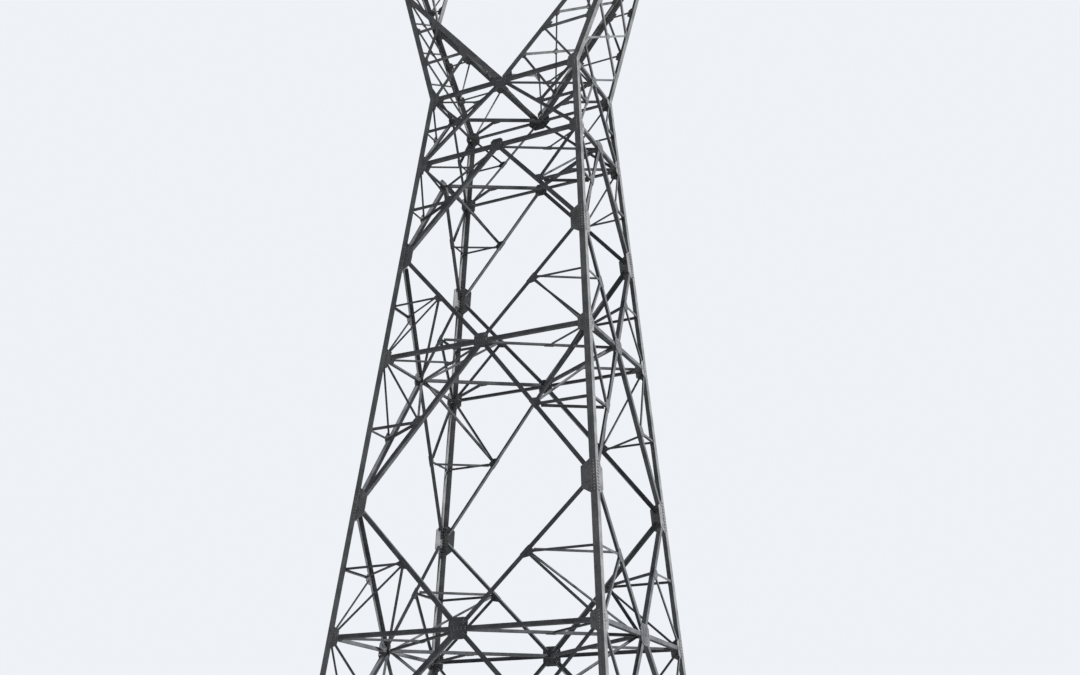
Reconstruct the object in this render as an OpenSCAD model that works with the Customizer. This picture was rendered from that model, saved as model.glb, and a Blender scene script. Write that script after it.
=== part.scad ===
// Lattice transmission pylon with a waist, a forked head and a bridge.
// X runs along the bridge, Y along the line route, Z up. The origin is on the ground, on the pylon's axis.

/* [Tower body] */
// Half of the width along X, between the heels of the legs, at the ground
base_half_x = 3900; // [3700:10:4100]
// Half of the width along Y, between the heels of the legs, at the ground
base_half_y = 2760; // [2650:10:2900]
// Inward lean of every face, in millimetres for each metre of height
lean_per_m = 77.6; // [72:0.2:81]
// Height of the leg node at the foot
foot_node_h = 800; // [700:10:1000]
// Height of the low ring
low_ring_h = 4390; // [4200:10:4600]
// Rise of the leg node above the low ring
lower_node_rise = 3250; // [3000:10:3500]
// Rise of the middle ring above the leg node below it
mid_ring_rise = 3970; // [3700:10:4200]
// Rise of the leg node above the middle ring
upper_node_rise = 3020; // [2800:10:3200]
// Rise of the high ring above the leg node below it
high_ring_rise = 3000; // [2800:10:3200]
// Rise of the waist ring above the high ring
waist_rise = 2240; // [2100:10:2400]

/* [Head] */
// Rise of the elbows above the waist ring
elbow_rise = 4360; // [4200:10:4600]
// Outward lean of the outer chords, in millimetres for each metre of height
fork_out_per_m = 320; // [300:1:340]
// Rise of the point of the V between the inner chords above the waist ring
apex_rise = 90; // [80:1:110]
// Distance between the heels of the outer and the inner chord at an elbow
elbow_gap = 215; // [205:1:240]
// Rise of the bridge's underside above the elbows
window_rise = 2650; // [2500:10:2800]
// Half of the width of the window where it meets the bridge
window_top_half = 2740; // [2600:10:2850]
// Depth of the bridge
bridge_d = 1400; // [1300:10:1500]
// How far the bridge runs past the heels of the outer chords, to where the crossarms start
bridge_over = 140; // [130:1:200]
// Length of a crossarm
arm_run = 3660; // [3300:10:4000]
// Height of the chords at a crossarm tip
tip_h = 320; // [300:10:400]
// Half of the width of a crossarm tip
tip_half = 170; // [160:1:200]
// Rise of the earth wire peaks above the bridge
peak_rise = 2500; // [2200:10:2700]

/* [Steel sections] */
// Width of the flanges of the legs and the fork chords
leg_w = 160; // [150:1:170]
// Thickness of the flanges of the legs and all chords
leg_t = 14; // [12:0.5:16]
// Width of the flanges of the bridge and crossarm chords
chord_w = 110; // [100:1:120]
// Width of the main diagonals
diag_w = 110; // [100:1:118]
// Thickness of the main diagonals and ring struts
diag_t = 9; // [7:0.5:11]
// Width of the ring struts
strut_w = 100; // [90:1:110]
// Width of the diagonals of the waist panels and the plan bracing
plan_w = 80; // [70:1:90]
// Width of the light bracing
lace_w = 60; // [50:1:66]
// Thickness of the light bracing
lace_t = 6; // [5:0.5:7]
// Thickness of the gusset plates
plate_t = 12; // [8:0.5:14]

/* [Plates] */
// Half of the height of the big leg gussets, along the leg
leg_gusset_half = 420; // [380:5:450]
// How far the big leg gussets stand beyond the leg's flange
leg_gusset_out = 230; // [220:5:260]
// Half of the height of the gussets where ring struts meet the legs
corner_gusset_half = 250; // [230:5:280]
// How far the gussets where ring struts meet the legs stand beyond the flange
corner_gusset_out = 150; // [140:5:180]
// Half of the width of the gussets in the middle of the low ring's struts
mid_gusset_half = 250; // [235:5:280]
// Half of the height of the gussets on the fork chords
chord_gusset_half = 150; // [140:1:160]
// How far the gussets on the fork chords stand beyond the flange
chord_gusset_out = 80; // [70:1:100]
// Half of the length of the gussets along the bridge and crossarm chords
panel_gusset_half = 190; // [180:1:210]
// How far small gussets reach past the ends of the bars that they hold
seat = 75; // [65:1:85]
// Side of the square base plates
base_plate_w = 520; // [480:10:560]
// Thickness of the base plates
base_plate_t = 30; // [25:1:40]
// Spacing of the anchor bolt holes in a base plate
anchor_spacing = 380; // [360:5:400]
// Radius of the anchor bolt holes
anchor_r = 20; // [16:0.5:24]
// Clearance between members that end beside each other
gap = 12; // [8:0.5:14]

/* [Fittings] */
// Width of the hanger plates at the top
hanger_w = 180; // [160:5:200]
// Depth of the hanger plates
hanger_drop = 200; // [180:5:240]
// Thickness of the hanger plates
hanger_t = 24; // [20:1:30]
// Radius of the holes in the hanger plates
hanger_hole_r = 15; // [12:0.5:20]

/* [Hidden] */

lean = lean_per_m / 1000;
fold = norm([1, lean]);
tilt = atan(lean / fold);
// Every face has three layers, from outside in: leg and chord flanges, gusset plates, bars
bar_depth = leg_t + plate_t;
plate_clear = bar_depth + gap;
lace_clear = bar_depth + lace_w + gap;
strut_clear = bar_depth + strut_w + gap;
corner_clear = lace_clear + lace_w / 2;
lower_node_h = low_ring_h + lower_node_rise;
mid_ring_h = lower_node_h + mid_ring_rise;
upper_node_h = mid_ring_h + upper_node_rise;
high_ring_h = upper_node_h + high_ring_rise;
waist_h = high_ring_h + waist_rise;
ring_h = [low_ring_h, mid_ring_h, high_ring_h, waist_h];
// Width of each ring's middle gussets as a share of the low ring's
mid_share = [1, 0.8, 0.74, 0.66];
node_h = [foot_node_h, lower_node_h, upper_node_h];
out = fork_out_per_m / 1000;
elbow_h = waist_h + elbow_rise;
apex_h = waist_h + apex_rise;
bridge_h = elbow_h + window_rise;
bridge_top = bridge_h + bridge_d;
bridge_half_y = half_y(bridge_h);
// Longer than any width of the pylon, for blocks that cut between heights
far = 20000;
// Share of a gusset's half width or height that is left at its outer edge
nose = 0.62;
// How much wider than the bar a gusset is, on each side of it
rim = 8;
// How far a plate runs into the flange that it is fused with
bite = 0.2;
// Reach of the level plates under the ring struts
under_strut = 0.8 * strut_w;
// Half of the height of the gussets on the chords' side flanges
side_gusset_half = 0.75 * chord_gusset_half;
steel = [0.55, 0.58, 0.6];
plate_grey = [0.48, 0.5, 0.52];
dark_steel = [0.42, 0.44, 0.47];

// Vectors and places

function unit(v) = v / norm(v);
function turn(i, v) = [v.x * cos(90 * i) - v.y * sin(90 * i), v.x * sin(90 * i) + v.y * cos(90 * i), v.z];
function half_x(h) = base_half_x - lean * h;
function half_y(h) = base_half_y - lean * h;
// Half of the width of face i at a height: 0 front, 1 right, 2 back, 3 left
function face_half(i, h) = i % 2 == 0 ? half_x(h) : half_y(h);
function face_off(i) = i % 2 == 0 ? base_half_y : base_half_x;
// Inward normal of face i
function face_n(i) = turn(i, [0, 1, -lean]) / fold;
// Distance up a leaning face for a height
function up(h) = h * fold;
// Point of face i at a depth behind its outer surface
function face_point(i, p, depth) =
    turn(i, [p.x, -face_off(i) + (p.y * lean + depth) / fold, (p.y - depth * lean) / fold]);
// Heel of the leg at corner k: 0 front right, 1 back right, 2 back left, 3 front left
function heel(k, h) = [(k < 2 ? 1 : -1) * half_x(h), (k == 0 || k == 3 ? -1 : 1) * half_y(h), h];
// Point of a face beside its right leg: x from the heel inward, y along the leg
function leg_point(i, h, x, y) = [
    face_half(i, h) - x * cos(tilt) - y * sin(tilt),
    up(h) - x * sin(tilt) + y * cos(tilt),
];
function slope_angle(p, q) = atan2(abs(q.y - p.y), abs(q.x - p.x));
function heading(p, q) = atan2(q.y - p.y, q.x - p.x);
// Cut that ends a bar of width w short of a band that runs through its work point at an angle to it
function edge_cut(angle, w, band) = (band / 2 + w / 2 * abs(cos(angle))) / sin(angle) + gap;

// Heel lines of the fork, which stay in the front and back planes of the body
function outer_x(h) = half_x(waist_h) + out * (h - waist_h);
elbow_x = outer_x(elbow_h) - elbow_gap;
in_low = elbow_x / (elbow_h - apex_h);
in_high = (elbow_x - window_top_half) / window_rise;
function inner_low_x(h) = in_low * (h - apex_h);
function inner_high_x(h) = elbow_x - in_high * (h - elbow_h);
function inner_x(h) = h < elbow_h ? inner_low_x(h) : inner_high_x(h);
function front_heel(x, h) = [x, -half_y(h), h];
// Distances from the pylon's axis to where the crossarms start and to their tips
crossarm_root = outer_x(bridge_h) + bridge_over;
crossarm_reach = crossarm_root + arm_run;

module place(o, x, y, z)
    multmatrix([
        [x.x, y.x, z.x, o.x],
        [x.y, y.y, z.y, o.y],
        [x.z, y.z, z.z, o.z],
        [0, 0, 0, 1],
    ]) children();

// A plane whose outer surface stands off the axis by off at the ground and leans in by slope
module on_plane(azimuth, off, slope)
    rotate([0, 0, azimuth]) translate([0, -off, 0]) rotate([90 - atan(slope), 0, 0]) children();

module on_face(i) on_plane(90 * i, face_off(i), lean) children();

// Shapes for the right half of a face, mirrored when m is 1
module flip(m) mirror([m, 0, 0]) children();

module both() for (m = [0, 1]) flip(m) children();

module between_heights(low, high)
    intersection() {
        children();
        translate([-far, -far, low]) cube([2 * far, 2 * far, high - low]);
    }

// Bars and plates

// Angle bar whose heel runs from p to q and whose flanges lie on the planes with inward normals n1 and n2
module corner_angle(p, q, n1, n2, w, t) {
    d = unit(q - p);
    side = cross(d, n1);
    f1 = unit(side) * (side * n2 > 0 ? 1 : -1);
    other = cross(d, n2);
    f2 = unit(other) * (other * n1 > 0 ? 1 : -1);
    tip = [f2 * f1, f2 * n1];
    inward = [n2 * f1, n2 * n1];
    outline = [
        [0, 0], [w, 0], [w, t],
        [t * (1 - inward.y) / inward.x, t],
        w * tip + t * inward, w * tip,
    ];
    if (cross(f1, n1) * d > 0)
        place(p, f1, n1, d) linear_extrude(norm(q - p)) polygon(outline);
    else
        place(p, n1, f1, d) linear_extrude(norm(q - p)) polygon([for (v = outline) [v.y, v.x]]);
}

function angle_outline(w, t, lip) = [
    [-lip * w / 2, 0], [lip * w / 2, 0], [lip * w / 2, -w],
    [lip * (w / 2 - t), -w], [lip * (w / 2 - t), -t], [-lip * w / 2, -t],
];

// Angle bar between two points of a face, flat behind the gusset plates, with its lip turned inward
module face_bar(p, q, w, t, cut_p, cut_q, lip)
    translate([p.x, p.y, -bar_depth]) rotate([0, 0, heading(p, q)])
        translate([cut_p, 0, 0]) rotate([90, 0, 90])
            linear_extrude(norm(q - p) - cut_p - cut_q) polygon(angle_outline(w, t, lip));

module lace_bar(p, q, cut_p, cut_q, lip) face_bar(p, q, lace_w, lace_t, cut_p, cut_q, lip);

// Gusset plate behind the flanges of a face
module face_plate(points)
    translate([0, 0, -bar_depth]) linear_extrude(plate_t) polygon(points);

// Gusset plate that is fused with the flange in front of it
module flange_plate(points)
    translate([0, 0, -bar_depth]) linear_extrude(plate_t + bite) polygon(points);

// Gusset where bars meet at o. Each end is a heading, a reach and half of a width, in the order in which
// they follow each other round the node: anticlockwise, or clockwise when way is -1
module node_plate(o, ends, way = 1)
    face_plate([
        for (e = ends)
            for (side = [-way, way])
                o + e.y * [cos(e.x), sin(e.x)] + side * e.z * [-sin(e.x), cos(e.x)]
    ]);

// Six-sided outline of a gusset on an upright flange: x from the heel, y along the flange
function gusset_outline(half, reach) = [
    [plate_clear, -half], [leg_w - rim, -half], [leg_w + reach, -nose * half],
    [leg_w + reach, nose * half], [leg_w - rim, half], [plate_clear, half],
];

// Six-sided outline of a gusset on a lying flange: x along the flange, y from the heel
function panel_outline() = [
    [-panel_gusset_half, plate_clear], [panel_gusset_half, plate_clear],
    [panel_gusset_half, corner_clear], [nose * panel_gusset_half, corner_clear + seat],
    [-nose * panel_gusset_half, corner_clear + seat], [-panel_gusset_half, corner_clear],
];

// Angle bar between two points in space, with a level flat side and its lip up or down
module space_bar(p, q, w, t, lip = 1) {
    d = unit(q - p);
    side = unit(cross([0, 0, 1], d));
    place(p, side, cross(d, side), d) linear_extrude(norm(q - p))
        polygon([
            [-w / 2, 0], [w / 2, 0], [w / 2, lip * w],
            [w / 2 - t, lip * w], [w / 2 - t, lip * t], [-w / 2, lip * t],
        ]);
}

// Feet and legs

module base_plate(k) color(plate_grey) {
    foot = heel(k, 0);
    inward = [-sign(foot.x), -sign(foot.y)] * base_plate_w / 4;
    translate([foot.x + inward.x, foot.y + inward.y, 0]) difference() {
        translate([-base_plate_w / 2, -base_plate_w / 2, 0]) cube([base_plate_w, base_plate_w, base_plate_t]);
        for (x = [-1, 1])
            for (y = [-1, 1])
                translate([x, y, 0] * anchor_spacing / 2 - [0, 0, 1])
                    cylinder(r = anchor_r, h = base_plate_t + 2, $fn = 32);
    }
}

module leg_gusset(i, h, half, reach)
    flange_plate([for (v = gusset_outline(half, reach)) leg_point(i, h, v.x, v.y)]);

// Gusset at the top of the leg, which on the front and back faces also takes the fork above it
module waist_gusset(i) {
    reach = leg_w + corner_gusset_out;
    flange_plate([
        for (v = [
            [plate_clear, -corner_gusset_half], [leg_w - rim, -corner_gusset_half],
            [reach, -nose * corner_gusset_half], [reach, -gap], [plate_clear, -gap],
        ]) leg_point(i, waist_h, v.x, v.y)
    ]);
    if (i % 2 == 0)
        face_plate([
            for (v = [
                [plate_clear, 0], [plate_clear, corner_gusset_half], [leg_w - rim, corner_gusset_half],
                [reach, nose * corner_gusset_half], [reach, 0], [reach, -2 * gap], [plate_clear, -2 * gap],
            ]) [face_half(i, waist_h) + max(v.y, 0) * out - v.x, up(waist_h) + v.y]
        ]);
}

module leg(k) color(steel) {
    between_heights(base_plate_t, waist_h)
        corner_angle(heel(k, -leg_w), heel(k, waist_h + leg_w), face_n(k), face_n(k + 1), leg_w, leg_t);
    for (side = [0, 1]) {
        i = (k + side) % 4;
        on_face(i) flip(side) {
            for (h = node_h) leg_gusset(i, h, leg_gusset_half, leg_gusset_out);
            for (h = [low_ring_h, mid_ring_h, high_ring_h])
                leg_gusset(i, h, corner_gusset_half, corner_gusset_out);
            waist_gusset(i);
        }
    }
}

// Rings

// Thin strip across the joint between a strut and the gusset in front of it, which fuses the two
module strut_seam(h, half)
    translate([-half / 2, up(h) - strut_w / 4, -bar_depth - bite]) cube([half, strut_w / 2, 2 * bite]);

module mid_gusset(i, h, half)
    on_face(i) {
        face_plate([
            for (v = [
                [-1, -nose], [-nose, -1], [nose, -1], [1, -nose],
                [1, nose], [nose, 1], [-nose, 1], [-1, nose],
            ]) [v.x * half, up(h) + v.y * half]
        ]);
        strut_seam(h, half);
    }

// Gusset under the V of the fork: its upper edge follows the inner chords
module apex_gusset(i) {
    half = mid_gusset_half;
    wing = half - rim;
    low = up(apex_h) - 2 * (leg_t + gap);
    right = [
        [wing, low + wing / in_low],
        [wing + lace_w, low + (wing - lace_w) / in_low],
        [half + strut_w, up(waist_h) - strut_w / 2],
        [nose * half, up(waist_h) - half],
    ];
    on_face(i) {
        face_plate(concat([[0, low]], right, [for (n = [3:-1:0]) [-right[n].x, right[n].y]]));
        strut_seam(waist_h, half);
    }
}

module ring_strut(i, h) {
    x = face_half(i, h) - strut_clear;
    on_face(i) face_bar([-x, up(h)], [x, up(h)], strut_w, diag_t, 0, 0, -1);
}

// Level bracing of a ring: a diamond between the middles of the struts, plates in the corners and a
// short bar from each corner to the nearest side of the diamond. Its plates run through the struts' lips.
module ring_plan(h) {
    lip_h = h - strut_w / 2 + diag_t / 2 - lean * (bar_depth + strut_w / 2);
    edge = bar_depth + strut_w;
    x = half_x(h) - edge;
    y = half_y(h) - edge;
    a = atan(y / x);
    cut = max(edge_cut(a, plan_w, 0), edge_cut(90 - a, plan_w, 0));
    half = plan_w / 2 + rim;
    mid_half = mid_gusset_half / 2;
    inset = strut_clear + lace_w;
    corner = [half_x(h) - inset, half_y(h) - inset];
    mid = [x, y] / 2;
    b = heading(mid, corner);
    short_cut = edge_cut(a + b, lace_w, plan_w);
    wide = strut_clear + 3 * strut_w;
    step = plate_clear + strut_w / 2;
    translate([0, 0, lip_h - bar_depth + plate_t / 2]) rotate([180, 0, 0]) {
        for (m = [0, 1]) {
            mirror([m, 0, 0])
                node_plate([x, 0], [
                    [0, under_strut, mid_half], [180 - a, cut + seat, half], [180 + a, cut + seat, half],
                ]);
            mirror([0, m, 0])
                node_plate([0, y], [
                    [-a, cut + seat, half], [90, under_strut, mid_half], [180 + a, cut + seat, half],
                ]);
            mirror([0, m, 0]) both() {
                face_bar([x, 0], [0, y], plan_w, lace_t, cut, cut, 1);
                lace_bar(mid, corner, short_cut, 0, -1);
                node_plate(mid, [
                    [-a, plan_w + seat / 2, half], [b, short_cut + seat, lace_w / 2 + rim],
                    [180 - a, plan_w + seat / 2, half],
                ]);
                face_plate([
                    for (v = [
                        [strut_clear, plate_clear], [wide, plate_clear], [wide, step],
                        [step, wide], [plate_clear, wide], [plate_clear, strut_clear],
                    ]) [half_x(h) - v.x, half_y(h) - v.y]
                ]);
            }
        }
    }
}

module ring(r) color(dark_steel) {
    for (i = [0:3]) ring_strut(i, ring_h[r]);
    for (i = [0:3])
        if (r < 3 || i % 2 == 1) mid_gusset(i, ring_h[r], mid_share[r] * mid_gusset_half);
    if (r == 3)
        for (i = [0, 2]) apex_gusset(i);
    ring_plan(ring_h[r]);
}

// Corner bracing of the body

// Small plate that ties a level bar to the right leg
module leg_tab(i, h)
    face_plate([
        for (v = [[plate_clear, -lace_w], [leg_w, -lace_w], [leg_w, lace_w], [plate_clear, lace_w]])
            leg_point(i, h, v.x, v.y)
    ]);

// Middle of the main diagonal on the right half of face i
function diagonal_mid(i, ring, leg_node) = ([0, up(ring)] + leg_point(i, leg_node, leg_w / 2, 0)) / 2;

// Triangle between the right leg, a ring strut and the main diagonal of face i
module half_panel(i, ring, leg_node) {
    m = [0, up(ring)];
    w = leg_point(i, leg_node, leg_w / 2, 0);
    c = leg_point(i, ring, leg_w / 2, 0);
    d = diagonal_mid(i, ring, leg_node);
    a = slope_angle(m, w);
    b = slope_angle(d, c);
    above = leg_node > ring ? 1 : -1;
    mid_cut = max(edge_cut(a, diag_w, strut_w), edge_cut(90 - a, diag_w, 0));
    strut_cut = edge_cut(a, lace_w, diag_w);
    corner_cut = edge_cut(a + b, lace_w, diag_w);
    reach = diag_w + seat / 2;
    half = lace_w / 2 + rim;
    face_bar(m, w, diag_w, diag_t, mid_cut, edge_cut(90 - a, diag_w, leg_w), above);
    lace_bar(d, [face_half(i, d.y / fold), d.y], strut_cut, lace_clear, above);
    lace_bar(d, c, corner_cut, edge_cut(b, lace_w, strut_w), above);
    node_plate(d, [
        [above * a, reach, diag_w / 2 + rim], [0, strut_cut + seat, half],
        [-above * b, corner_cut + seat, half], [above * (a - 180), reach, diag_w / 2 + rim],
    ], -above);
    leg_tab(i, d.y / fold);
}

// Level bar behind a leg, from lip to lip of the level bars of both faces
module corner_tie(k, ring, leg_node) {
    above = leg_node > ring ? 1 : -1;
    depth = bar_depth + lace_w / 2 + lace_t + rim / 2;
    ends = [for (side = [0, 1])
        let (
            i = (k + side) % 4,
            d = diagonal_mid(i, ring, leg_node),
            a = slope_angle([0, up(ring)], leg_point(i, leg_node, leg_w / 2, 0)),
            x = d.x + edge_cut(a, lace_w, diag_w) + lace_w
        ) face_point(i, [(1 - 2 * side) * x, d.y + above * (lace_w - lace_t) / 2], depth)];
    drop = [0, 0, above * lace_t / 2];
    space_bar(ends[0] - drop, ends[1] - drop, lace_w, lace_t, above);
}

module corner_bracing(k, r) color(steel) {
    nodes = r < 2 ? [node_h[r], node_h[r + 1]] : [node_h[r]];
    for (leg_node = nodes) {
        for (side = [0, 1])
            on_face((k + side) % 4) flip(side) half_panel((k + side) % 4, ring_h[r], leg_node);
        corner_tie(k, ring_h[r], leg_node);
    }
}

// Panel between the high ring and the waist: a diagonal from each leg up to the middle
module waist_half(i) {
    top = [0, up(waist_h)];
    w = leg_point(i, high_ring_h, leg_w / 2, 0);
    c = leg_point(i, waist_h, leg_w / 2, 0);
    d = (top + w) / 2;
    a = slope_angle(top, w);
    b = slope_angle(d, c);
    strut_cut = edge_cut(a, lace_w, plan_w);
    corner_cut = edge_cut(a + b, lace_w, plan_w);
    leg_cut = edge_cut(a, plan_w, strut_w);
    half = lace_w / 2 + rim;
    face_bar(w, top, plan_w, lace_t, leg_cut, max(leg_cut, edge_cut(90 - a, plan_w, 0)), 1);
    lace_bar(d, [face_half(i, d.y / fold), d.y], strut_cut, lace_clear, -1);
    lace_bar(d, c, corner_cut, edge_cut(b, lace_w, strut_w), -1);
    reach = plan_w + seat / 2;
    node_plate(d, [
        [-a, reach, plan_w / 2 + rim], [0, strut_cut + seat, half],
        [b, corner_cut + seat, half], [180 - a, reach, plan_w / 2 + rim],
    ]);
    leg_tab(i, d.y / fold);
}

module waist_bracing(i) color(steel) on_face(i) both() waist_half(i);

// Fork. Every part is made for the right arm and mirrored for the left one.

outer_n = unit([-1, 0, out]);
inner_low_n = unit([1, 0, -in_low]);
inner_high_n = unit([1, 0, in_high]);
// Heights as shares of the rise to the elbow and of the rise from the elbow to the bridge
lower_front_h = [for (f = [0.34, 0.65]) waist_h + f * elbow_rise];
upper_front_h = [for (f = [0.26, 0.58, 0.92]) elbow_h + f * window_rise];
lower_side_h = [for (f = [0.16, 0.46, 0.76]) waist_h + f * elbow_rise];
lower_inner_h = [for (f = [0.183, 0.46, 0.76]) waist_h + f * elbow_rise];
upper_side_h = [for (f = [0.06, 0.5, 0.94]) elbow_h + f * window_rise];

// Point on the flange of the outer or the inner chord: x from the heel across it, y up from height h
function chord_point(inner, h, x, y) = inner
    ? [inner_x(h + y) + x * norm([1, h < elbow_h ? in_low : in_high]), up(h + y)]
    : [outer_x(h + y) - x * norm([1, out]), up(h + y)];

module chord_gusset(inner, h)
    flange_plate([
        for (v = gusset_outline(chord_gusset_half, chord_gusset_out))
            chord_point(inner, h, v.x, v.y)
    ]);

// Level bar between the chords, with a gusset at each end
module front_strut(h) {
    p = chord_point(true, h, lace_clear + lace_w / 2, 0);
    lace_bar(p, chord_point(false, h, lace_clear, 0), 0, 0, -1);
    for (inner = [false, true]) chord_gusset(inner, h);
}

// Diagonal from the outer chord up to the inner one
module front_diagonal(low, high, low_band, high_band) {
    p = chord_point(false, low, leg_w / 2, 0);
    q = chord_point(true, high, leg_w / 2, 0);
    a = slope_angle(p, q);
    lace_bar(p, q, edge_cut(a, lace_w, low_band), edge_cut(a, lace_w, high_band), 1);
}

// Gusset that ties both chords together at the elbow
module elbow_gusset() {
    half = leg_gusset_half;
    flange_plate([
        chord_point(true, elbow_h - half, plate_clear, 0), chord_point(false, elbow_h - half, plate_clear, 0),
        chord_point(false, elbow_h + half, plate_clear, 0), chord_point(true, elbow_h + half, plate_clear, 0),
        [elbow_x + plate_clear, up(elbow_h)],
    ]);
}

// The inner chord's front flange, cut back beside the outer chord's
module beside_outer(low, high) {
    band = leg_w * norm([1, out]) + gap;
    difference() {
        children();
        on_face(0) translate([0, 0, -leg_t - 1]) linear_extrude(leg_t + 2) polygon([
            [outer_x(low) - band, up(low)], [outer_x(low) + leg_w, up(low)],
            [outer_x(high) + leg_w, up(high)], [outer_x(high) - band, up(high)],
        ]);
    }
}

module arm_lower_front() color(steel) {
    low = waist_h - leg_w;
    high = elbow_h + leg_w;
    between_heights(waist_h, elbow_h)
        corner_angle(front_heel(outer_x(low), low), front_heel(outer_x(high), high),
            face_n(0), outer_n, leg_w, leg_t);
    between_heights(apex_h + gap, elbow_h)
        beside_outer(low, high)
            corner_angle(front_heel(inner_low_x(low), low), front_heel(inner_low_x(high), high),
                face_n(0), inner_low_n, leg_w, leg_t);
    on_face(0) {
        for (h = lower_front_h) front_strut(h);
        front_diagonal(waist_h, lower_front_h[0], strut_w, lace_w);
        front_diagonal(lower_front_h[0], lower_front_h[1], lace_w, lace_w);
        elbow_gusset();
    }
}

module arm_upper_front() color(steel) {
    low = elbow_h - leg_w;
    high = bridge_h + leg_w;
    between_heights(elbow_h, bridge_h) {
        corner_angle(front_heel(outer_x(low), low), front_heel(outer_x(high), high),
            face_n(0), outer_n, leg_w, leg_t);
        beside_outer(low, high)
            corner_angle(front_heel(inner_high_x(low), low), front_heel(inner_high_x(high), high),
                face_n(0), inner_high_n, leg_w, leg_t);
    }
    on_face(0) {
        for (n = [0, 1]) {
            front_strut(upper_front_h[n]);
            front_diagonal(upper_front_h[n], upper_front_h[n + 1], lace_w, n == 0 ? lace_w : 0);
        }
        chord_gusset(true, upper_front_h[2]);
    }
}

// Crossed bars between the front and the back chord of one side of an arm: one runs through, the other
// is broken at the crossing, and a plate joins them
module crossed_lacing(levels, stretch) {
    for (n = [0:len(levels) - 2]) {
        p = [half_y(levels[n]) - lace_clear, levels[n] * stretch];
        q = [half_y(levels[n + 1]) - lace_clear, levels[n + 1] * stretch];
        o = [0, p.y + (q.y - p.y) * p.x / (p.x + q.x)];
        a = slope_angle(p, o);
        cut = edge_cut(a, lace_w, 0);
        cross_cut = edge_cut(2 * a, lace_w, lace_w);
        reach = cross_cut + seat / 2;
        half = lace_w / 2 + rim;
        lace_bar(p, [-q.x, q.y], cut, cut, 1);
        lace_bar([-p.x, p.y], o, cut, cross_cut, -1);
        lace_bar(o, q, cross_cut, cut, -1);
        node_plate(o, [[a, reach, half], [180 - a, reach, half], [180 + a, reach, half], [-a, reach, half]]);
    }
    for (h = levels) side_gussets(h, stretch);
}

module side_gussets(h, stretch)
    both() face_plate([
        for (v = gusset_outline(side_gusset_half, chord_gusset_out))
            [half_y(h + v.y / stretch) - v.x, h * stretch + v.y]
    ]);

// Level bar under the lowest crossing of an arm's inner side, with two bars from its middle down to
// the feet of the chords
module foot_lacing(h, stretch) {
    foot_h = apex_h + (side_gusset_half + 2 * gap) / stretch;
    o = [0, h * stretch - lace_w / 2 - gap];
    foot = [half_y(foot_h) - leg_w / 2, foot_h * stretch];
    a = slope_angle(o, foot);
    cut = max(edge_cut(a, lace_w, lace_w), edge_cut(90 - a, lace_w, 0));
    foot_cut = edge_cut(90 - a, lace_w, 2 * lace_clear - leg_w);
    half = lace_w / 2 + rim;
    x = half_y(h) - lace_clear;
    lace_bar([-x, o.y], [x, o.y], 0, 0, 1);
    both() lace_bar(o, foot, cut, foot_cut, -1);
    node_plate(o, [
        [0, lace_w + seat / 2, half], [180, lace_w + seat / 2, half],
        [180 + a, cut + seat, half], [-a, cut + seat, half],
    ]);
    side_gussets(foot_h, stretch);
}

module arm_outer_lacing() color(steel)
    on_plane(90, outer_x(0), -out) crossed_lacing(concat(lower_side_h, upper_side_h), norm([1, out]));

module arm_lower_lacing() color(steel) on_plane(270, in_low * apex_h, in_low) {
    stretch = norm([1, in_low]);
    crossed_lacing(lower_inner_h, stretch);
    foot_lacing(lower_inner_h[0], stretch);
}

module arm_upper_lacing() color(steel)
    on_plane(270, -elbow_x - in_high * elbow_h, -in_high) crossed_lacing(upper_side_h, norm([1, in_high]));

// Bridge

bridge_panels = 8;
panel_w = 2 * crossarm_root / bridge_panels;

function panel_x(n) = n * panel_w - crossarm_root;
function inside_bridge(x) = max(-crossarm_root, min(crossarm_root, x));

// Gusset at panel point n on a chord whose heel is at y: side is 1 where the face lies above it
module bridge_gusset(n, y, side)
    face_plate([for (v = panel_outline()) [inside_bridge(panel_x(n) + v.x), y + side * v.y]]);

// Upright or cross bar at panel point n, moved in at the bridge's ends
module bridge_post(n, low, high) {
    x = panel_x(n) + (n == 0 ? 1 : n == bridge_panels ? -1 : 0) * lace_w / 2;
    lace_bar([x, low + lace_clear], [x, high - lace_clear], 0, 0, n > bridge_panels / 2 ? 1 : -1);
}

// Bars and gussets between two chords whose heels are at low and high
module bridge_panel_bars(low, high) {
    for (n = [0:bridge_panels - 1]) {
        rising = n % 2 == 0;
        lace_bar(
            [panel_x(n) + corner_clear, rising ? low + corner_clear : high - corner_clear],
            [panel_x(n + 1) - corner_clear, rising ? high - corner_clear : low + corner_clear], 0, 0, 1);
    }
    for (n = [0:bridge_panels]) {
        bridge_gusset(n, low, 1);
        bridge_gusset(n, high, -1);
        bridge_post(n, low, high);
    }
}

module bridge_front() color(steel) {
    for (level = [[bridge_h, 1], [bridge_top, -1]])
        corner_angle([-crossarm_root, -bridge_half_y, level.x], [crossarm_root, -bridge_half_y, level.x],
            [0, 1, 0], [0, 0, level.y], chord_w, leg_t);
    translate([0, -bridge_half_y, 0]) rotate([90, 0, 0]) bridge_panel_bars(bridge_h, bridge_top);
}

module bridge_bottom_lacing() color(dark_steel) {
    translate([0, 0, bridge_h]) rotate([180, 0, 0]) bridge_panel_bars(-bridge_half_y, bridge_half_y);
    translate([-hanger_w / 2, -hanger_w / 2, bridge_h]) cube([hanger_w, hanger_w, bar_depth]);
}

module bridge_top_lacing() color(dark_steel)
    translate([0, 0, bridge_top]) bridge_panel_bars(-bridge_half_y, bridge_half_y);

// Crossarms, made for the right side

arm_in = (bridge_half_y - tip_half) / arm_run;
arm_fall = (bridge_d - tip_h) / arm_run;
arm_turn = atan(arm_in);
arm_dip = atan(arm_fall);
arm_panels = 4;
// Length of the plates that close a crossarm at its tip
tip_plate_w = 260;

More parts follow.
